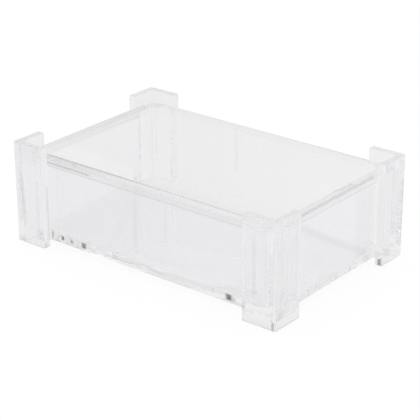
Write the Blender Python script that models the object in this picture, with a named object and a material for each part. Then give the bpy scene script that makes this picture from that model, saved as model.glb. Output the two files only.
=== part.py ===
"""Clear business card holder: an open card tray held in four L-shaped corner posts.

Units are metres, +Z up. The origin lies on the table under the middle of the holder.
X runs along the long side, and the front is at -Y. Run it with
blender --background --python part.py, or from the text editor.
"""
import math

import bpy

HOLDER_NAME = "business_card_holder"

# The card that the tray is made for, and the room beside it on each side
CARD_LENGTH = 0.090
CARD_WIDTH = 0.054
CARD_PLAY_ENDS = 0.0013
CARD_PLAY_SIDES = 0.0009

# The wall: a strip bent into a ring with round corners
WALL_THICKNESS = 0.0026
WALL_HEIGHT = 0.0286
WELL_CORNER_RADIUS = 0.0030

# The bead outside the top of the wall, which slopes back to the wall at its foot
BEAD_HEIGHT = 0.0030
BEAD_PROUD = 0.0007
RIM_OUTER_ROUND = 0.0006
RIM_INNER_ROUND = 0.0003

# The floor plate, set inside the foot of the wall
FLOOR_THICKNESS = 0.0023

# The corner posts: L-shaped sections that reach below the wall as feet and
# above it as the seats for a second tray
POST_THICKNESS = 0.0026
POST_LEG_X = 0.0123
POST_LEG_Y = 0.0118
POST_HEIGHT = 0.0344
POST_CORNER_RADIUS = 0.0012
POST_EDGE_ROUND = 0.0002
FOOT_HEIGHT = 0.0021

# Bonded faces are drawn this far apart
BOND_GAP = 0.0003

# Detail of the round shapes
CORNER_STEPS = 10
SMALL_ROUND_STEPS = 4

# Sizes that follow from the ones above
WELL_LENGTH = CARD_LENGTH + 2 * CARD_PLAY_ENDS
WELL_WIDTH = CARD_WIDTH + 2 * CARD_PLAY_SIDES
RIM_THICKNESS = WALL_THICKNESS + BEAD_PROUD
POST_OFFSET = RIM_THICKNESS + BOND_GAP
HOLDER_LENGTH = WELL_LENGTH + 2 * (POST_OFFSET + POST_THICKNESS)
HOLDER_WIDTH = WELL_WIDTH + 2 * (POST_OFFSET + POST_THICKNESS)

# Colours, linear: clear sheet with a slight cool cast
CLEAR_SHEET = (0.93, 0.95, 0.96, 0.35)
CLEAR_SECTION = (0.91, 0.94, 0.96, 0.35)
CLEAR_ROUGHNESS = 0.06


def clear_start():
    """Remove what the start-up scene holds."""
    for leftover in list(bpy.data.objects):
        bpy.data.objects.remove(leftover, do_unlink=True)


def new_collection(name):
    """A collection linked to the scene."""
    collection = bpy.data.collections.new(name)
    bpy.context.scene.collection.children.link(collection)
    return collection


def clear_plastic(name, colour):
    """A Principled material for one piece of clear plastic."""
    material = bpy.data.materials.new(name)
    material.use_nodes = True
    shader = material.node_tree.nodes["Principled BSDF"]
    shader.inputs["Base Color"].default_value = (*colour[:3], 1.0)
    shader.inputs["Alpha"].default_value = colour[3]
    shader.inputs["Roughness"].default_value = CLEAR_ROUGHNESS
    shader.inputs["Metallic"].default_value = 0.0
    material.diffuse_color = colour
    return material


def arc(centre, radius, start, end, steps):
    """Points on an arc, with both of its ends, going from one angle to the other."""
    turns = [start + (end - start) * step / steps for step in range(steps + 1)]
    return [
        (centre[0] + radius * math.cos(turn), centre[1] + radius * math.sin(turn))
        for turn in turns
    ]


def rounded_rectangle(length, width, radius):
    """A rectangle about the origin with its corners rounded, counter-clockwise."""
    across = length / 2 - radius
    along = width / 2 - radius
    centres = ((across, along), (-across, along), (-across, -along), (across, -along))
    points = []
    for quarter, centre in enumerate(centres):
        start = quarter * math.pi / 2
        points += arc(centre, radius, start, start + math.pi / 2, CORNER_STEPS)
    return points


def outline_curve(name, points):
    """A flat closed curve through the points."""
    curve = bpy.data.curves.new(name, "CURVE")
    curve.dimensions = "2D"
    curve.fill_mode = "BOTH"
    spline = curve.splines.new("POLY")
    spline.points.add(len(points) - 1)
    for point, (x, y) in zip(spline.points, points):
        point.co = (x, y, 0.0, 1.0)
    spline.use_cyclic_u = True
    spline.use_smooth = False
    return curve


def plate(name, points, thickness, edge_round):
    """A flat plate on z = 0 with the outline of the points and eased edges."""
    curve = outline_curve(name, points)
    curve.extrude = thickness / 2 - edge_round
    curve.bevel_depth = edge_round
    curve.bevel_resolution = 0
    curve.offset = -edge_round
    return curve


def add_piece(collection, name, data, material):
    """Link the data as a named piece with its own material."""
    piece = bpy.data.objects.new(name, data)
    data.materials.append(material)
    collection.objects.link(piece)
    return piece


def wall_section():
    """The wall's section: y runs up from the foot, and x into the well from its edge.

    The wall itself lies at negative x. The foot is square, and the top has a bead on
    the outside and rounded edges.
    """
    bead_foot = WALL_HEIGHT - BEAD_HEIGHT
    quarter = math.pi / 2
    inner_centre = (RIM_INNER_ROUND, WALL_HEIGHT - RIM_INNER_ROUND)
    outer_centre = (RIM_THICKNESS - RIM_OUTER_ROUND, WALL_HEIGHT - RIM_OUTER_ROUND)
    points = [(0.0, 0.0), (WALL_THICKNESS, 0.0), (WALL_THICKNESS, bead_foot)]
    points += [(RIM_THICKNESS, bead_foot + BEAD_PROUD)]
    points += arc(outer_centre, RIM_OUTER_ROUND, 0.0, quarter, SMALL_ROUND_STEPS)
    points += arc(inner_centre, RIM_INNER_ROUND, quarter, 2 * quarter, SMALL_ROUND_STEPS)
    return [(-x, y) for x, y in points]


def wall_ring(pieces, guides):
    """The wall, its section carried round the well."""
    section = bpy.data.objects.new("wall_section", outline_curve("wall_section", wall_section()))
    section.data.fill_mode = "NONE"
    guides.objects.link(section)
    section.hide_render = True
    section.display_type = "WIRE"
    round_the_well = rounded_rectangle(WELL_LENGTH, WELL_WIDTH, WELL_CORNER_RADIUS)
    path = outline_curve("wall_ring", round_the_well)
    path.fill_mode = "NONE"
    path.bevel_mode = "OBJECT"
    path.bevel_object = section
    ring = add_piece(pieces, "wall_ring", path, clear_plastic("clear_wall", CLEAR_SHEET))
    ring.location.z = FOOT_HEIGHT
    return ring


def floor_plate(pieces):
    """The floor, set inside the foot of the wall with the bond round it."""
    points = rounded_rectangle(
        WELL_LENGTH - 2 * BOND_GAP, WELL_WIDTH - 2 * BOND_GAP, WELL_CORNER_RADIUS - BOND_GAP
    )
    curve = plate("floor_plate", points, FLOOR_THICKNESS, 0.0)
    floor = add_piece(pieces, "floor_plate", curve, clear_plastic("clear_floor", CLEAR_SHEET))
    floor.location.z = FOOT_HEIGHT + FLOOR_THICKNESS / 2
    return floor


def post_section():
    """The L of a post, its outer corner at the origin and its legs along +X and +Y."""
    radius = POST_CORNER_RADIUS
    points = arc((radius, radius), radius, math.pi, 1.5 * math.pi, CORNER_STEPS // 2)
    points += [(POST_LEG_X, 0.0), (POST_LEG_X, POST_THICKNESS)]
    points += [(POST_THICKNESS, POST_THICKNESS)]
    points += [(POST_THICKNESS, POST_LEG_Y), (0.0, POST_LEG_Y)]
    return points


def corner_post(pieces, name, side_x, side_y):
    """One post at the corner on the given sides, where -1 is left or front."""
    points = [
        (side_x * (HOLDER_LENGTH / 2 - x), side_y * (HOLDER_WIDTH / 2 - y))
        for x, y in post_section()
    ]
    if side_x * side_y < 0:
        points.reverse()
    curve = plate(name, points, POST_HEIGHT, POST_EDGE_ROUND)
    post = add_piece(pieces, name, curve, clear_plastic(name + "_clear", CLEAR_SECTION))
    post.location.z = POST_HEIGHT / 2
    return post


def main():
    """Build the holder."""
    clear_start()
    pieces = new_collection(HOLDER_NAME)
    guides = new_collection("guides")
    wall_ring(pieces, guides)
    floor_plate(pieces)
    for depth_name, side_y in (("front", -1), ("back", 1)):
        for side_name, side_x in (("left", -1), ("right", 1)):
            corner_post(pieces, f"corner_post_{depth_name}_{side_name}", side_x, side_y)


main()
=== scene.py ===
"""The looks of a clear business card holder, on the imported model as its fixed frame.

The wall, the floor and the four corner posts are worked out again here with smooth
corners and eased edges, at the frame's own sizes, and dressed as clear plastic that
is bonded face to face.
"""
import math

import bpy
import numpy as np
from mathutils import Matrix, Vector


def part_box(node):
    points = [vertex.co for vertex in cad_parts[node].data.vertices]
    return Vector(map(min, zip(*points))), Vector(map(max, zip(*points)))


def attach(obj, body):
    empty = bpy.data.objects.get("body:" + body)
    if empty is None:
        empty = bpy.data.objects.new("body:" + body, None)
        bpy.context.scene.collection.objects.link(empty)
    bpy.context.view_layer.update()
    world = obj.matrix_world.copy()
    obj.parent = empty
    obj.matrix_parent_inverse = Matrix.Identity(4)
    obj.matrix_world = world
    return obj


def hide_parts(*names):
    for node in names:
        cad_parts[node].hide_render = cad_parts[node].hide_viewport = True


MM = 0.001

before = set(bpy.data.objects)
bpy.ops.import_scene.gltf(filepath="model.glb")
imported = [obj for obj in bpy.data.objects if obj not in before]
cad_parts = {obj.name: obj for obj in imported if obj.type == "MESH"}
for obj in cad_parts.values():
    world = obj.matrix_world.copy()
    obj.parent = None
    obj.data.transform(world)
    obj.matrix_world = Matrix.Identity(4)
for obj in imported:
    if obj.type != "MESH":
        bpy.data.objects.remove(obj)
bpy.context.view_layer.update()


def node_size(name):
    """Lowest and highest corners of a frame node as arrays."""
    low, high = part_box(name)
    return np.array(low), np.array(high)


# Sizes read from the frame
RING_LOW, RING_HIGH = node_size("wall_ring")
FLOOR_LOW, FLOOR_HIGH = node_size("floor_plate")
POST_LOW, POST_HIGH = node_size("corner_post_back_right")
POST_NAMES = [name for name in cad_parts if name.startswith("corner_post")]

# Sizes of the sections
WALL_THICK = 2.6 * MM
BEAD_TALL = 3.0 * MM
BEAD_PROUD = 0.7 * MM
RIM_THICK = WALL_THICK + BEAD_PROUD
RIM_OUTER_ROUND = 0.6 * MM
RIM_INNER_ROUND = 0.3 * MM
WELL_CORNER = 3.0 * MM
POST_THICK = 2.6 * MM
POST_CORNER = 1.2 * MM
POST_EASE = 0.2 * MM
FLOOR_EASE = 0.05 * MM

# The gap that the cement fills, and how far the cement stays off the faces beside it
BOND_GAP = 0.3 * MM
BOND_CLEAR = 0.015 * MM

# The arcs of the well's corners turn about these two distances from the middle
CORE_X = RING_HIGH[0] - RIM_THICK - WELL_CORNER
CORE_Y = RING_HIGH[1] - RIM_THICK - WELL_CORNER

# Points on each kind of quarter circle, and the edge angle above which shading is sharp
CORNER_POINTS = 33
OUTER_ROUND_POINTS = 13
INNER_ROUND_POINTS = 9
POST_CORNER_POINTS = 17
EASE_POINTS = 6
SHARP_ABOVE = math.radians(28)

# The post whose cement leaves the corner between its legs open. Along the leg in x the
# cement goes this many steps of the turn into the corner, and ends at this turn
OPEN_CORNER = "corner_post_front_left"
OPEN_STEPS = 3
OPEN_TO = math.pi / 2 * (1 - OPEN_STEPS / (CORNER_POINTS - 1))


def quarter_arc(centre, radius, start, points):
    """Points of a quarter circle: centre plus radius times the cosine and sine of the turn."""
    turn = start + np.linspace(0.0, math.pi / 2, points)
    return np.stack([centre[0] + radius * np.cos(turn), centre[1] + radius * np.sin(turn)], axis=1)


def well_outline():
    """The well's edge seen from above, and the direction that points out of it at each point.

    Four quarter circles about the core's corners, counter-clockwise. A straight run is
    the single step from one of them to the next.
    """
    points, outward = [], []
    corners = ((CORE_X, CORE_Y), (-CORE_X, CORE_Y), (-CORE_X, -CORE_Y), (CORE_X, -CORE_Y))
    for quarter, corner in enumerate(corners):
        start = quarter * math.pi / 2
        points.append(quarter_arc(corner, WELL_CORNER, start, CORNER_POINTS))
        outward.append(quarter_arc((0.0, 0.0), 1.0, start, CORNER_POINTS))
    return np.concatenate(points), np.concatenate(outward)


def rim_section():
    """The wall's section as distance out from the well's edge and height, counter-clockwise.

    The foot is square. The bead slopes out at 45 degrees, stands up as the face of the
    rim, and turns over the top in two quarter circles of its own radii.
    """
    foot, top = RING_LOW[2], RING_HIGH[2]
    bead = top - BEAD_TALL
    start = np.array([
        [0.0, foot], [WALL_THICK, foot], [WALL_THICK, bead], [RIM_THICK, bead + BEAD_PROUD],
    ])
    outer_centre = (RIM_THICK - RIM_OUTER_ROUND, top - RIM_OUTER_ROUND)
    inner_centre = (RIM_INNER_ROUND, top - RIM_INNER_ROUND)
    outer = quarter_arc(outer_centre, RIM_OUTER_ROUND, 0.0, OUTER_ROUND_POINTS)
    inner = quarter_arc(inner_centre, RIM_INNER_ROUND, math.pi / 2, INNER_ROUND_POINTS)
    return np.concatenate([start, outer, inner])


def grid_faces(rows, columns, closed_rows):
    """Quads of a grid that closes along its columns, and along its rows if asked."""
    row = np.arange(rows if closed_rows else rows - 1)[:, None]
    column = np.arange(columns)[None, :]
    here, above = row * columns, (row + 1) % rows * columns
    beside = (column + 1) % columns
    quads = np.stack([here + column, here + beside, above + beside, above + column], axis=-1)
    return quads.reshape(-1, 4)


def end_faces(count, rows):
    """The two faces that close a grid of rows with that many points each at its ends."""
    last = count * (rows - 1)
    return [list(range(count))[::-1], list(range(last, last + count))]


def new_piece(name, vertices, faces):
    """A mesh object at the origin, smooth except at its sharp edges."""
    mesh = bpy.data.meshes.new(name)
    mesh.from_pydata(vertices.tolist(), [], faces)
    mesh.update()
    mesh.shade_smooth()
    mesh.set_sharp_from_angle(angle=SHARP_ABOVE)
    piece = bpy.data.objects.new(name, mesh)
    bpy.context.scene.collection.objects.link(piece)
    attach(piece, "root")
    return piece


def carried_round(name, section):
    """The section carried round the well: outline point plus outward direction times distance."""
    points, outward = well_outline()
    plan = points[None, :, :] + outward[None, :, :] * section[:, 0][:, None, None]
    height = np.broadcast_to(section[:, 1][:, None, None], plan.shape[:2] + (1,))
    vertices = np.concatenate([plan, height], axis=2).reshape(-1, 3)
    return new_piece(name, vertices, grid_faces(len(section), len(points), True).tolist())


def mitres(outline):
    """The move that sets a closed outline in by one unit: its edge normals, summed and scaled."""
    ahead = np.roll(outline, -1, axis=0) - outline
    ahead /= np.linalg.norm(ahead, axis=1)[:, None]
    right = np.stack([ahead[:, 1], -ahead[:, 0]], axis=1)
    before = np.roll(right, 1, axis=0)
    return (right + before) / (1.0 + (right * before).sum(axis=1))[:, None]


def eased_plate(name, outline, low, high, ease):
    """An upright prism of the outline whose top and bottom edges are quarter circles of the ease.

    At each height the outline is set in along its mitres by the ease times one minus the
    cosine of the turn, and the height is eased by one minus its sine.
    """
    turn = np.linspace(0.0, math.pi / 2, EASE_POINTS)
    inset = ease * (1.0 - np.cos(turn))
    rise = ease * np.sin(turn)
    insets = np.concatenate([inset[::-1], inset])
    heights = np.concatenate([low + ease - rise[::-1], high - ease + rise])
    plan = outline[None, :, :] - mitres(outline)[None, :, :] * insets[:, None, None]
    height = np.broadcast_to(heights[:, None, None], plan.shape[:2] + (1,))
    vertices = np.concatenate([plan, height], axis=2).reshape(-1, 3)
    rows, count = len(heights), len(outline)
    faces = grid_faces(rows, count, False).tolist() + end_faces(count, rows)
    return new_piece(name, vertices, faces)


def bond_section():
    """The cement between the floor and the wall, as an upright strip just short of both."""
    inner, outer = -BOND_GAP + BOND_CLEAR, -BOND_CLEAR
    low, high = FLOOR_LOW[2] + BOND_CLEAR, FLOOR_HIGH[2] - BOND_CLEAR
    return np.array([[inner, low], [outer, low], [outer, high], [inner, high]])


def bond_path():
    """The way of the cement round a post: at each step its turn and the middle it turns about.

    It runs along the leg in y at turn 0, turns a quarter about the core's corner, and
    runs along the leg in x.
    """
    turn = np.concatenate([[0.0], np.linspace(0.0, math.pi / 2, CORNER_POINTS), [math.pi / 2]])
    middle = np.repeat([[CORE_X, CORE_Y]], len(turn), axis=0)
    middle[0, 1], middle[-1, 0] = POST_LOW[1] + POST_EASE, POST_LOW[0] + POST_EASE
    return turn, middle


def post_bond(name, side_x, side_y, steps):
    """The cement between a post and the wall, over some steps of its path.

    At each turn its section goes from the wall's own profile out to the inside of the
    post, which lies at the legs' distance divided by the larger of the cosine and the
    sine of the turn.
    """
    turn, middle = (part[steps] for part in bond_path())
    ray = np.stack([np.cos(turn), np.sin(turn)], axis=1)
    low, high = RING_LOW[2], RING_HIGH[2] - RIM_OUTER_ROUND
    bead = RING_HIGH[2] - BEAD_TALL
    wall = WELL_CORNER + WALL_THICK + BOND_CLEAR
    rim = WELL_CORNER + RIM_THICK + BOND_CLEAR
    inside = np.array([[wall, low], [wall, bead], [rim, bead + BEAD_PROUD], [rim, high]])
    reach = (WELL_CORNER + RIM_THICK + BOND_GAP - BOND_CLEAR) / ray.max(axis=1)
    distance = np.concatenate([np.repeat(inside[:, :1], len(turn), axis=1), [reach, reach]])
    heights = np.append(inside[:, 1], [high, low])
    height = np.broadcast_to(heights[:, None, None], distance.shape + (1,))
    plan = (middle[None, :, :] + ray[None, :, :] * distance[:, :, None]) * (side_x, side_y)
    vertices = np.concatenate([plan, height], axis=2).transpose(1, 0, 2).reshape(-1, 3)
    section, count = distance.shape
    faces = grid_faces(count, section, False).tolist() + end_faces(section, count)
    if side_x * side_y < 0:
        faces = [face[::-1] for face in faces]
    return new_piece(name, vertices, faces)


def floor_outline():
    """The floor's edge: the well's outline moved in by the bond."""
    points, outward = well_outline()
    return points - outward * BOND_GAP


def post_outline(side_x, side_y):
    """The L of a post seen from above, counter-clockwise, with its outer corner rounded."""
    long_x, long_y = (POST_HIGH - POST_LOW)[:2]
    corner = quarter_arc((POST_CORNER, POST_CORNER), POST_CORNER, math.pi, POST_CORNER_POINTS)
    front_leg = [[long_x, 0.0], [long_x, POST_THICK], [POST_THICK, POST_THICK]]
    side_leg = [[POST_THICK, long_y], [0.0, long_y]]
    shape = (POST_HIGH[:2] - np.concatenate([corner, front_leg, side_leg])) * (side_x, side_y)
    return shape[::-1] if side_x * side_y < 0 else shape


class Tree:
    """Short calls for wiring a node tree."""

    def __init__(self, tree):
        self.tree = tree

    def node(self, kind, **settings):
        """A new node with the settings."""
        made = self.tree.nodes.new(kind)
        for key, value in settings.items():
            setattr(made, key, value)
        return made

    def feed(self, socket, value):
        """Link a socket or set a number."""
        if isinstance(value, bpy.types.NodeSocket):
            self.tree.links.new(value, socket)
        else:
            socket.default_value = value

    def math(self, operation, *values):
        """One Math node."""
        made = self.node("ShaderNodeMath", operation=operation)
        for socket, value in zip(made.inputs, values):
            self.feed(socket, value)
        return made.outputs[0]

    def mix(self, kind, factor, first, second):
        """A blend of two numbers: the first where the factor is 0, the second where it is 1."""
        made = self.node("ShaderNodeMix", data_type=kind)
        for socket, value in zip((made.inputs[0], *made.inputs[2:4]), (factor, first, second)):
            self.feed(socket, value)
        return made.outputs[0]

    def both(self, *factors):
        """The product of the factors."""
        result = factors[0]
        for factor in factors[1:]:
            result = self.math("MULTIPLY", result, factor)
        return result

    def either(self, *factors):
        """The largest of the factors."""
        result = factors[0]
        for factor in factors[1:]:
            result = self.math("MAXIMUM", result, factor)
        return result

    def opposite(self, factor):
        """One minus the factor."""
        return self.math("SUBTRACT", 1.0, factor)

    def above(self, value, limit):
        """1 where the value is greater than the limit, else 0."""
        return self.math("GREATER_THAN", value, limit)

    def below(self, value, limit):
        """1 where the value is less than the limit, else 0."""
        return self.math("LESS_THAN", value, limit)

    def between(self, value, low, high):
        """1 where low < value < high, else 0."""
        return self.both(self.above(value, low), self.below(value, high))

    def distance(self, value, middle):
        """How far the value is from the middle, either way."""
        return self.math("ABSOLUTE", self.math("SUBTRACT", value, middle))

    def ramp(self, value, start, end, first=0.0, last=1.0):
        """A smooth step of the value from first at start to last at end."""
        made = self.node("ShaderNodeMapRange", interpolation_type="SMOOTHSTEP")
        settings = {"From Min": start, "From Max": end, "To Min": first, "To Max": last}
        for key, number in settings.items():
            made.inputs[key].default_value = number
        self.feed(made.inputs["Value"], value)
        return made.outputs[0]

    def fade(self, value, start, end):
        """1 up to the start, falling smoothly to 0 at the end."""
        return self.ramp(value, start, end, 1.0, 0.0)

    def stretched(self, at, size):
        """Coordinates in which a pattern's cell has the size in metres along x, y and z."""
        made = self.node("ShaderNodeMapping")
        made.inputs["Scale"].default_value = [1.0 / length for length in size]
        self.feed(made.inputs["Vector"], at)
        return made.outputs[0]

    def noise(self, at, size, detail):
        """Noise from 0 to 1 with cells of the size."""
        made = self.node("ShaderNodeTexNoise")
        made.inputs["Scale"].default_value = 1.0
        made.inputs["Detail"].default_value = detail
        self.feed(made.inputs["Vector"], self.stretched(at, size))
        return made.outputs[0]

    def cells(self, at, size):
        """Distance from the middle of the nearest cell, in cells."""
        made = self.node("ShaderNodeTexVoronoi")
        made.inputs["Scale"].default_value = 1.0
        self.feed(made.inputs["Vector"], self.stretched(at, size))
        return made.outputs["Distance"]


def place(tree):
    """Object coordinates and what follows from them.

    They are the point itself, its signed x and y as right and back, |x|, |y|, z, and out:
    how far it lies from the core, which is the plan's rectangle inside the corner arcs.
    """
    at = tree.node("ShaderNodeTexCoord").outputs["Object"]
    split = tree.node("ShaderNodeSeparateXYZ")
    tree.feed(split.inputs[0], at)
    right, back, height = split.outputs
    across, along = tree.math("ABSOLUTE", right), tree.math("ABSOLUTE", back)
    beyond_x = tree.math("MAXIMUM", tree.math("SUBTRACT", across, CORE_X), 0.0)
    beyond_y = tree.math("MAXIMUM", tree.math("SUBTRACT", along, CORE_Y), 0.0)
    squares = [tree.math("POWER", beyond, 2.0) for beyond in (beyond_x, beyond_y)]
    out = tree.math("SQRT", tree.math("ADD", *squares))
    return {
        "at": at, "right": right, "back": back, "x": across, "y": along, "z": height, "out": out,
    }


# A bonded face is looked for this far to each side of its plane, and this far in from its edges
FACE_SLACK = 0.04 * MM
EDGE_CLEAR = 0.02 * MM
# Faces further out from the well's edge than this are the outer ones of the wall
OUTER_FACES = 2.5 * MM

# Air trapped in the floor's cement: the size of its cells, the share of a cell that is air,
# as a distance in cells, and how far below the floor's top it stays
AIR_CELL = (2.4 * MM, 2.4 * MM, 1.8 * MM)
AIR_SHARE = 0.30
AIR_BELOW = 0.5 * MM


def bonded_to_floor(tree, where):
    """1 on the faces between the floor plate and the foot of the wall, less the trapped air."""
    low, high = WELL_CORNER - BOND_GAP - FACE_SLACK, WELL_CORNER + FACE_SLACK
    faces = tree.both(
        tree.between(where["out"], low, high),
        tree.between(where["z"], FLOOR_LOW[2] + EDGE_CLEAR, FLOOR_HIGH[2] - EDGE_CLEAR),
    )
    air = tree.both(
        tree.below(tree.cells(where["at"], AIR_CELL), AIR_SHARE),
        tree.below(where["z"], FLOOR_HIGH[2] - AIR_BELOW),
        tree.below(where["back"], CORE_Y),
    )
    return tree.both(faces, tree.opposite(air))


def bonded_to_post(tree, where):
    """1 on the faces between the wall and the inside of a corner post, less the open corner.

    In that corner a point's turn about the core's corner is less than the one where the
    cement ends, so its distance in y times the cosine of that turn is less than its
    distance in x times the sine.
    """
    top = RING_HIGH[2] - RIM_OUTER_ROUND
    inside = RING_HIGH[:2] + BOND_GAP + FACE_SLACK
    past_x = tree.math("SUBTRACT", where["x"], CORE_X)
    past_y = tree.math("SUBTRACT", where["y"], CORE_Y)
    open_corner = tree.both(
        tree.below(where["right"], -CORE_X),
        tree.below(where["back"], -CORE_Y),
        tree.below(tree.both(past_y, math.cos(OPEN_TO)), tree.both(past_x, math.sin(OPEN_TO))),
    )
    return tree.both(
        tree.between(where["z"], RING_LOW[2] + EDGE_CLEAR, top - EDGE_CLEAR),
        tree.above(where["out"], WELL_CORNER + OUTER_FACES),
        tree.between(where["x"], POST_LOW[0], inside[0]),
        tree.between(where["y"], POST_LOW[1], inside[1]),
        tree.opposite(open_corner),
    )


def kept(tree, share, *inside):
    """The share of light kept where all the factors are 1, and 1 elsewhere."""
    return tree.opposite(tree.both(*inside, 1.0 - share))


# Painted shade on the rim: a darker bead, dark lines along its edges and darker faces
# Shares of light that parts of the rim keep. The inner edge of the front counts twice at the left
RIM_KEEPS = 0.95
BACK_RIM_KEEPS = 0.975
BACK_EDGE_KEEPS = 0.91
RIGHT_EDGE_KEEPS = 0.76
LEFT_EDGE_KEEPS = 0.875
FRONT_EDGE_KEEPS = 0.72
FRONT_FACE_SHADE_KEEPS = 0.86
BEAD_FOOT_KEEPS = 0.79
RIM_SHADE_LINE_KEEPS = 0.60

# Where they lie: out from the well's edge, or down from the rim's top. The bead's shade is
# full over this share of its height
BEAD_SHADE_FULL = 0.8
INNER_EDGE = (-0.1 * MM, 1.2 * MM)
OUTER_EDGE_WIDE = 0.9 * MM
BEAD_FOOT_TALL = 0.3 * MM
BEAD_FOOT_OUT = 0.05 * MM
RIM_SHADE_LINE_DOWN = (1.65 * MM, 0.90 * MM)
RIM_SHADE_LINE_DEEP = 0.3 * MM

# Where they fade, along x or, for the left edge, along y
RIM_SHADE_LINE_FADE = (-23.0 * MM, -21.0 * MM)
EDGE_FADE = (-14.0 * MM, 4.0 * MM)
FRONT_FACE_SHADE_FADE = (-32.0 * MM, -8.0 * MM)
LEFT_EDGE_FADE = (-30.0 * MM, 8.0 * MM)
# Up to the posts' legs, and behind the front left post's leg
LEG_FADE = 4.0 * MM
BEHIND_LEG_FADE = (3.0 * MM, 1.0 * MM)


def rim_shade(tree, where):
    """Painted shade on the rim: the light it keeps, less in the bead and least along its edges."""
    top, bead_foot = RING_HIGH[2], RING_HIGH[2] - BEAD_TALL
    height, right = where["z"], where["right"]
    out = tree.math("SUBTRACT", where["out"], WELL_CORNER)
    behind = tree.above(where["back"], CORE_Y)

    bead = tree.ramp(height, bead_foot, top - BEAD_SHADE_FULL * BEAD_TALL)
    face = tree.above(height, top - RIM_OUTER_ROUND)
    inner_top = tree.above(height, top - RIM_INNER_ROUND)
    inner_edge = tree.both(tree.between(out, *INNER_EDGE), inner_top)
    outer_edge = tree.both(tree.above(out, RIM_THICK - OUTER_EDGE_WIDE), face)
    foot = tree.both(
        tree.above(out, WALL_THICK + BEAD_FOOT_OUT),
        tree.between(height, bead_foot, bead_foot + BEAD_PROUD + BEAD_FOOT_TALL),
    )
    # A painted line of shade on the front rim's outer face, towards the left
    rim_shade_line = tree.both(
        tree.between(height, *(top - down for down in RIM_SHADE_LINE_DOWN)),
        tree.above(out, RIM_THICK - RIM_SHADE_LINE_DEEP),
        tree.fade(right, *RIM_SHADE_LINE_FADE),
    )

    leg_x, leg_y = POST_LOW[:2]
    free_front = tree.both(
        tree.below(where["back"], -CORE_Y),
        tree.fade(right, leg_x - LEG_FADE, leg_x),
        tree.ramp(right, *(-leg_x - far for far in BEHIND_LEG_FADE)),
    )
    free_right = tree.both(
        tree.above(right, CORE_X), tree.fade(where["y"], leg_y - LEG_FADE, leg_y)
    )
    left = tree.both(tree.below(right, -CORE_X), tree.ramp(where["back"], *LEFT_EDGE_FADE))
    # Painted shade on the front rim's top face, darker towards the left
    front_face_shade = tree.both(tree.fade(right, *FRONT_FACE_SHADE_FADE), tree.above(out, INNER_EDGE[1]))
    return tree.both(
        kept(tree, RIM_KEEPS, bead, tree.opposite(behind)),
        kept(tree, BACK_RIM_KEEPS, bead, behind),
        kept(tree, BACK_EDGE_KEEPS, outer_edge, behind),
        kept(tree, RIGHT_EDGE_KEEPS, outer_edge, free_right),
        kept(tree, LEFT_EDGE_KEEPS, face, left),
        kept(tree, FRONT_EDGE_KEEPS, inner_edge, free_front),
        kept(tree, FRONT_EDGE_KEEPS, inner_edge, free_front, tree.fade(right, *EDGE_FADE)),
        kept(tree, FRONT_FACE_SHADE_KEEPS, face, free_front, front_face_shade),
        kept(tree, BEAD_FOOT_KEEPS, foot, tree.either(free_front, free_right)),
        kept(tree, RIM_SHADE_LINE_KEEPS, rim_shade_line, free_front),
    )


# Flat faces that carry marks: the coordinate that they face along, where they lie, and
# the one that they run along
FACES = {
    "wall front": ("back", RING_LOW[1] + BEAD_PROUD, "right"),
    "wall right": ("right", RING_HIGH[0] - BEAD_PROUD, "back"),
    "wall back inside": ("back", CORE_Y + WELL_CORNER, "right"),
    "post front": ("back", -POST_HIGH[1], "right"),
    "post side": ("right", POST_HIGH[0], "back"),
    "leg end right": ("back", POST_LOW[1], "right"),
    "leg end left": ("right", -POST_LOW[0], "back"),
}

# Painted light and shade on the faces of the wall
# Face, place along it, height, half width, half height in mm, slant, light kept
WALL_LIGHT_AND_SHADE_MARKS = (
    # Painted lines of shade in the sheet, and one painted line of light
    ("wall front", -4.1, 18.0, 1.3, 11.0, 0.0, 0.90),
    ("wall front", -0.1, 18.0, 1.3, 11.0, 0.0, 1.014),
    ("wall front", 8.3, 21.0, 0.9, 8.0, 0.0, 0.94),
    ("wall back inside", -9.9, 23.0, 1.0, 9.0, 0.0, 0.915),
    ("wall right", 17.5, 15.0, 7.0, 16.0, 0.0, 0.93),
    # Painted shade where the air in the floor's joint looks dark: back, front and right
    ("wall back inside", -27.6, 4.8, 1.8, 0.45, 0.0, 0.955),
    ("wall back inside", -17.0, 4.9, 2.0, 0.5, 0.0, 0.955),
    ("wall back inside", -8.8, 6.0, 2.6, 0.7, 0.0, 0.965),
    ("wall front", -39.9, 3.9, 0.4, 2.2, 0.0, 0.55),
    ("wall front", -35.3, 4.0, 0.9, 0.9, 0.0, 0.11),
    ("wall front", -31.3, 3.8, 0.8, 0.75, 0.0, 0.38),
    ("wall front", -26.1, 3.9, 1.2, 1.15, 0.0, 0.12),
    ("wall front", -20.2, 4.35, 2.4, 1.1, 0.0, 0.74),
    ("wall front", -16.6, 4.35, 2.4, 1.1, 0.0, 0.74),
    ("wall front", -12.4, 3.7, 2.4, 0.9, 0.0, 0.68),
    ("wall front", -11.2, 5.05, 2.8, 0.6, 0.0, 0.76),
    ("wall front", -5.6, 3.75, 2.7, 0.75, 9.6, 0.68),
    ("wall front", -2.8, 3.3, 1.3, 0.6, 0.0, 0.84),
    ("wall front", 1.5, 4.55, 4.0, 0.4, 0.0, 0.85),
    ("wall front", 4.0, 3.85, 1.8, 0.65, -6.3, 0.72),
    ("wall front", 26.5, 4.3, 0.7, 1.0, 0.0, 0.84),
    ("wall front", 32.55, 3.9, 1.6, 1.25, 0.0, 0.06),
    ("wall front", 34.4, 3.6, 1.1, 0.9, 0.0, 0.60),
    ("wall right", -12.5, 3.6, 0.7, 1.6, 0.0, 0.88),
    ("wall right", -8.6, 3.4, 0.6, 1.2, 0.0, 0.90),
    ("wall right", 1.6, 3.2, 0.6, 1.4, 0.0, 0.90),
    ("wall right", 9.6, 3.4, 0.7, 1.0, 0.0, 0.80),
    ("wall right", 16.0, 3.4, 0.6, 1.0, 0.0, 0.90),
    ("wall right", 19.6, 3.2, 0.7, 1.0, 0.0, 0.80),
)
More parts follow.
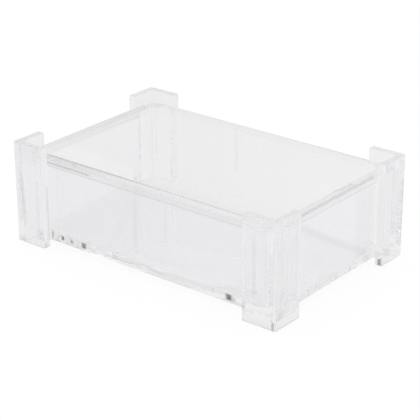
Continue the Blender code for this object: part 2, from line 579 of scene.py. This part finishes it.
POST_SHADE_MARKS = (
    # Painted lines of shade along the edges of the cement behind the legs
    ("post front", -48.7, 16.0, 0.9, 10.0, -0.075, 0.80),
    ("post front", 41.2, 4.5, 0.6, 3.5, 0.0, 0.93),
    ("post front", 44.5, 17.5, 0.85, 12.0, -0.015, 0.86),
    ("post side", 30.5, 12.5, 0.45, 9.0, 0.0, 0.94),
    ("post side", 31.6, 6.0, 1.4, 1.0, 0.0, 0.80),
    ("post side", 32.8, 15.0, 0.6, 14.0, 0.0, 0.82),
    # Painted shade along the legs' ends and the corner
    ("post front", 40.75, 16.0, 0.9, 14.0, 0.0, 0.965),
    ("post front", 49.3, 17.0, 0.9, 12.0, 0.0, 0.91),
    ("post side", -23.0, 16.0, 0.9, 14.0, 0.0, 0.965),
    ("leg end right", 51.2, 18.0, 1.9, 15.0, 0.0, 0.88),
    # Broad faint patches of painted shade
    ("post front", -46.5, 31.5, 7.0, 3.5, 0.0, 0.93),
    ("post front", 46.5, 0.9, 6.5, 1.3, 0.0, 0.93),
    ("post side", -32.4, 17.0, 2.4, 13.0, 0.0, 0.94),
    ("post side", -26.8, 17.0, 5.0, 13.0, 0.0, 0.96),
    ("post side", 24.2, 17.0, 3.0, 22.0, 0.0, 0.89),
    # Painted dark spots of shade at the feet
    ("post front", 50.0, 4.4, 1.4, 0.5, 0.0, 0.86),
    ("post front", 51.5, 1.6, 0.6, 1.6, 0.0, 0.42),
    ("post side", -32.0, 4.5, 1.8, 1.3, 0.0, 0.80),
    ("post side", -28.5, 7.9, 0.7, 0.8, 0.0, 0.90),
    ("leg end right", 51.4, 1.2, 0.8, 1.5, 0.0, 0.16),
    ("leg end left", -33.4, 0.9, 0.5, 0.8, 0.0, 0.60),
)

# A mark fades between these shares of its half width and of its half height, and
# reaches this far from its face
MARK_SIDES = (0.3, 1.2)
MARK_ENDS = (0.5, 1.1)
MARK_DEEP = 0.15 * MM


def painted_light_and_shade(tree, where, table):
    """Painted light and shade in the plastic: how much light a face keeps at each mark.

    A mark is a soft-edged bar on a flat face. It has its place along the face and its
    height, its half width and half height, how far it slants aside for each step up,
    and the share of light that it keeps.
    """
    result = 1.0
    for face, along, height, half_wide, half_tall, slant, share in table:
        facing, plane, running = FACES[face]
        above = tree.math("SUBTRACT", where["z"], height * MM)
        middle = tree.math("MULTIPLY_ADD", above, slant, along * MM)
        sides = [part * half_wide * MM for part in MARK_SIDES]
        ends = [part * half_tall * MM for part in MARK_ENDS]
        mark = kept(
            tree,
            share,
            tree.fade(tree.distance(where[running], middle), *sides),
            tree.fade(tree.math("ABSOLUTE", above), *ends),
            tree.below(tree.distance(where[facing], plane), MARK_DEEP),
        )
        result = tree.both(mark, result)
    return result


# Clear plastic with a slight cool cast
CLEAR = (0.986, 0.986, 0.996, 1.0)
CLEAR_IOR = 1.49

# The part of a noise's range that counts, the rest being flat
NOISE_SPAN = (0.3, 0.7)

# Flow streaks, and how much light they take at most
STREAK_CELL = (5.0 * MM, 5.0 * MM, 70.0 * MM)
STREAK_DETAIL = 3.0
STREAK_DEPTH = 0.012

# Long shallow waves. The posts' drawn section, the floor's flat sheet and the dressed rim
# are truer than the bent wall, so they have this share of them
WAVE_CELL = (11.0 * MM, 11.0 * MM, 26.0 * MM)
WAVE_DETAIL = 1.0
WAVE_DEPTH = 0.008 * MM
SECTION_WAVES = 0.3
FLOOR_WAVES = 0.3
RIM_WAVES = 0.3

# The sawn ends of the posts: how deep they count, the light that the top ones keep, and
# the least and most roughness of the saw's cells
END_DEEP = 0.05 * MM
TOP_END_KEEPS = 0.89
SAW_CELL = (0.5 * MM, 3.0 * MM, 1.0 * MM)
SAW_DETAIL = 2.0
SAWN = (0.02, 0.05)


def clear_plastic(name, bonds, rim=False, cut_ends=False, painted_marks=(), waves=1.0):
    """Clear plastic with flow streaks and long shallow waves, and its bonds seen straight through.

    The wall adds the painted shade of its rim, the posts add sawn ends, and both add painted
    marks.
    """
    material = bpy.data.materials.new(name)
    material.use_nodes = True
    tree = Tree(material.node_tree)
    shader = material.node_tree.nodes["Principled BSDF"]
    where = place(tree)
    shader.inputs["IOR"].default_value = CLEAR_IOR
    shader.inputs["Transmission Weight"].default_value = 1.0
    shader.inputs["Roughness"].default_value = 0.0

    streaks = tree.noise(where["at"], STREAK_CELL, STREAK_DETAIL)
    keeps = tree.ramp(streaks, *NOISE_SPAN, 1.0 - STREAK_DEPTH, 1.0)
    ripple = tree.noise(where["at"], WAVE_CELL, WAVE_DETAIL)
    if rim:
        keeps = tree.both(keeps, rim_shade(tree, where))
        bead_foot = RING_HIGH[2] - BEAD_TALL
        truer = tree.ramp(where["z"], bead_foot - BEAD_TALL, bead_foot, 1.0, RIM_WAVES)
        ripple = tree.both(ripple, truer)
    if cut_ends:
        top_end = tree.above(where["z"], POST_HIGH[2] - END_DEEP)
        keeps = tree.both(keeps, kept(tree, TOP_END_KEEPS, top_end))
        ends = tree.either(top_end, tree.below(where["z"], END_DEEP))
        saw = tree.ramp(tree.noise(where["at"], SAW_CELL, SAW_DETAIL), *NOISE_SPAN, *SAWN)
        tree.feed(shader.inputs["Roughness"], tree.both(ends, saw))
    # Painted light and shade marks on the faces
    if painted_marks:
        keeps = tree.both(keeps, painted_light_and_shade(tree, where, painted_marks))

    grey = tree.node("ShaderNodeCombineColor")
    for socket in grey.inputs[:3]:
        tree.feed(socket, keeps)
    colour = tree.node("ShaderNodeMix", data_type="RGBA", blend_type="MULTIPLY")
    colour.inputs["Factor"].default_value = 1.0
    colour.inputs[6].default_value = CLEAR
    tree.feed(colour.inputs[7], grey.outputs[0])
    tree.feed(shader.inputs["Base Color"], colour.outputs[2])

    bump = tree.node("ShaderNodeBump")
    bump.inputs["Strength"].default_value = 1.0
    bump.inputs["Distance"].default_value = WAVE_DEPTH * waves
    tree.feed(bump.inputs["Height"], ripple)
    tree.feed(shader.inputs["Normal"], bump.outputs[0])

    joined = tree.either(*[bond(tree, where) for bond in bonds])
    tree.feed(shader.inputs["Alpha"], tree.opposite(joined))
    return material


def dress(piece, material, node=None):
    """Give the piece its material, and let it stand for the frame's node if one is named."""
    piece.data.materials.append(material)
    if node:
        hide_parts(node)


both_bonds = [bonded_to_floor, bonded_to_post]
wall_finish = clear_plastic("clear_wall", both_bonds, rim=True, painted_marks=WALL_LIGHT_AND_SHADE_MARKS)
floor_finish = clear_plastic("clear_floor", [bonded_to_floor], waves=FLOOR_WAVES)
floor_cement = clear_plastic("cement", [bonded_to_floor])
post_finish = clear_plastic(
    "clear_post", [bonded_to_post], cut_ends=True, painted_marks=POST_SHADE_MARKS, waves=SECTION_WAVES
)
post_cement = clear_plastic("post_cement", [bonded_to_post])

wall = carried_round("wall", rim_section())
dress(wall, wall_finish, "wall_ring")
dress(carried_round("floor_bond", bond_section()), floor_cement)
floor = eased_plate("floor", floor_outline(), FLOOR_LOW[2], FLOOR_HIGH[2], FLOOR_EASE)
dress(floor, floor_finish, "floor_plate")
for node in POST_NAMES:
    sides = (1 if node.endswith("right") else -1, 1 if "back" in node else -1)
    post_name, bond_name = node.replace("corner_", ""), node.replace("corner_post", "bond")
    post = eased_plate(post_name, post_outline(*sides), POST_LOW[2], POST_HIGH[2], POST_EASE)
    dress(post, post_finish, node)
    stretches = {bond_name: slice(None)}
    if node == OPEN_CORNER:
        stretches = {bond_name + "_y": slice(0, 2), bond_name + "_x": slice(-2 - OPEN_STEPS, None)}
    for stretch_name, steps in stretches.items():
        dress(post_bond(stretch_name, *sides, steps), post_cement)

# The camera at the photograph's place: its right, its up and its back, and where it stands
LENS = 132.93213
SENSOR_WIDTH = 36.0
CAMERA_AXES = (
    (0.78065724, 0.62495239, -0.00296268),
    (-0.24703441, 0.31292982, 0.91708720),
    (0.57406295, -0.71519888, 0.39867567),
)
CAMERA_AT = (0.28649956, -0.35563423, 0.21151446)

lens = bpy.data.cameras.new("camera")
lens.lens = LENS
lens.sensor_width = SENSOR_WIDTH
camera = bpy.data.objects.new("camera", lens)
bpy.context.scene.collection.objects.link(camera)
turned = Matrix(CAMERA_AXES).transposed().to_4x4()
camera.matrix_world = Matrix.Translation(CAMERA_AT) @ turned
scene = bpy.context.scene
scene.camera = camera
scene.view_settings.view_transform = "Standard"

# Light goes back and forth in the plastic many times before it leaves
BOUNCES = 128
for kind in ("max", "glossy", "transmission", "diffuse", "transparent_max"):
    setattr(scene.cycles, kind + "_bounces", BOUNCES)


def ray_kinds(tree):
    """Factors for rays straight from the camera, and for rays through or off the plastic."""
    rays = tree.node("ShaderNodeLightPath").outputs
    return rays["Is Camera Ray"], tree.either(rays["Is Transmission Ray"], rays["Is Glossy Ray"])


def direction(around, up):
    """A unit vector: turned from -Y towards +X by the first angle, and raised by the second."""
    turn, rise = math.radians(around), math.radians(up)
    level = math.cos(rise)
    return Vector((math.sin(turn) * level, -math.cos(turn) * level, math.sin(rise)))


def lean(tree, at, towards):
    """How far the looked-at direction leans towards a fixed one: their dot product."""
    made = tree.node("ShaderNodeVectorMath", operation="DOT_PRODUCT")
    tree.feed(made.inputs[0], at)
    made.inputs[1].default_value = towards
    return made.outputs["Value"]


def soft_lobe(tree, at, towards, sharpness, strength):
    """A soft round patch of light: strength times e to the sharpness times the lean less one."""
    power = tree.math("MULTIPLY_ADD", lean(tree, at, towards), sharpness, -sharpness)
    return tree.both(tree.math("EXPONENT", power), strength)


# Levels of the studio as the plastic sees it, and the heights between which they change,
# as the sine of the angle above the table
LOW_LEVEL = 0.905
MIDDLE_LEVEL = 0.78
TOP_LEVEL = 0.96
LOW_TO_MIDDLE = (0.10, 0.30)
MIDDLE_TO_TOP = (0.68, 0.92)
# The soft key light, and the shade behind the holder: towards, sharpness and strength
KEY = (direction(308, 57), 6.0, 0.15)
SHADE = (direction(145, 18), 5.0, -0.12)


def studio():
    """White to the camera. To all else a pale room: soft key above left, shade behind right."""
    world = bpy.data.worlds.new("studio")
    scene.world = world
    world.use_nodes = True
    tree = Tree(world.node_tree)
    at = tree.node("ShaderNodeTexCoord").outputs["Generated"]
    split = tree.node("ShaderNodeSeparateXYZ")
    tree.feed(split.inputs[0], at)
    height = split.outputs[2]
    level = tree.ramp(height, *LOW_TO_MIDDLE, LOW_LEVEL, MIDDLE_LEVEL)
    rest = tree.ramp(height, *MIDDLE_TO_TOP, 0.0, TOP_LEVEL - MIDDLE_LEVEL)
    for more in (rest, soft_lobe(tree, at, *KEY), soft_lobe(tree, at, *SHADE)):
        level = tree.math("ADD", level, more)
    direct, _ = ray_kinds(tree)
    light = world.node_tree.nodes["Background"]
    light.inputs["Color"].default_value = (1.0, 1.0, 1.0, 1.0)
    tree.feed(light.inputs["Strength"], tree.mix("FLOAT", direct, level, 1.0))


# The table: its size, how far it lies below the feet, and the grey of its matt part
TABLE_SIZE = 6.0
TABLE_DROP = -0.2 * MM
TABLE_MATT = 0.10
# The level that the matt part reaches in this light, and what the shine adds past white
MATT_LEVEL = 0.088
PAST_WHITE = 0.01
# The table's level on the near side, seen through the plastic. It goes over to the
# studio's low level along this direction, this far to each side of the middle
NEAR_LEVEL = 0.885
AWAY = Vector((-0.626, 0.78, 0.0))
AWAY_FAR = 0.25
# Light that the plastic lets down onto the table, under the tray and behind it
UNDER_KEEPS = 1.01
BEYOND_KEEPS = 1.035
BEYOND_RISE = 2.5 * MM
BEYOND_FADE = (6.0 * MM, 9.0 * MM)
# The soft line of shade along the tray's back edge: where it lies behind the edge of the
# well, how wide it is to each side, where it fades out at the corners, and in along x
SHADE_LINE = -2.8 * MM
LINE_WIDE = 3.6 * MM
LINE_KEEPS = 0.90
LINE_TO = (CORE_X - 3.0 * MM, CORE_X + 1.5 * MM)
LINE_FROM = (-6.0 * MM, 14.0 * MM)
# The table is a little darker past the left end
LEFT_KEEPS = 0.955
LEFT_FADE = (-0.10, 0.03)


def table_top():
    """A pale table that keeps a soft shadow: part matt and lit, part bright by itself.

    The part that shines makes up what the matt part lacks, to plain white for the camera
    and to the studio's low level for rays that come through the plastic.
    """
    bpy.ops.mesh.primitive_plane_add(size=TABLE_SIZE)
    table = bpy.context.object
    table.name = "table"
    table.location.z = TABLE_DROP
    paint = bpy.data.materials.new("table")
    paint.use_nodes = True
    paint.node_tree.nodes.clear()
    tree = Tree(paint.node_tree)
    where = place(tree)
    away = lean(tree, where["at"], AWAY)
    level = tree.ramp(away, -AWAY_FAR, AWAY_FAR, NEAR_LEVEL - MATT_LEVEL, LOW_LEVEL - MATT_LEVEL)
    past = tree.math("SUBTRACT", where["back"], CORE_Y + WELL_CORNER)
    beyond = tree.both(
        tree.ramp(past, SHADE_LINE, SHADE_LINE + BEYOND_RISE, UNDER_KEEPS, BEYOND_KEEPS),
        tree.ramp(past, *BEYOND_FADE, 1.0, 1.0 / BEYOND_KEEPS),
    )
    left_end = tree.ramp(where["right"], *LEFT_FADE, LEFT_KEEPS, 1.0)
    line = kept(
        tree,
        LINE_KEEPS,
        tree.fade(tree.distance(past, SHADE_LINE), 0.0, LINE_WIDE),
        tree.fade(where["x"], *LINE_TO),
        tree.ramp(where["right"], *LINE_FROM),
    )
    direct, through = ray_kinds(tree)
    # Painted light and shade on the table for rays through the plastic: brighter under and behind
    # the tray, darker past the left end and along the soft line
    seen_through = tree.both(through, level, beyond, left_end, line)
    shine = tree.node("ShaderNodeEmission")
    white = 1.0 - MATT_LEVEL + PAST_WHITE
    tree.feed(shine.inputs["Strength"], tree.mix("FLOAT", direct, seen_through, white))
    matt = tree.node("ShaderNodeBsdfDiffuse")
    matt.inputs["Color"].default_value = (TABLE_MATT, TABLE_MATT, TABLE_MATT, 1.0)
    together = tree.node("ShaderNodeAddShader")
    tree.feed(together.inputs[0], matt.outputs[0])
    tree.feed(together.inputs[1], shine.outputs[0])
    out = tree.node("ShaderNodeOutputMaterial")
    tree.feed(out.inputs["Surface"], together.outputs[0])
    table.data.materials.append(paint)


studio()
table_top()
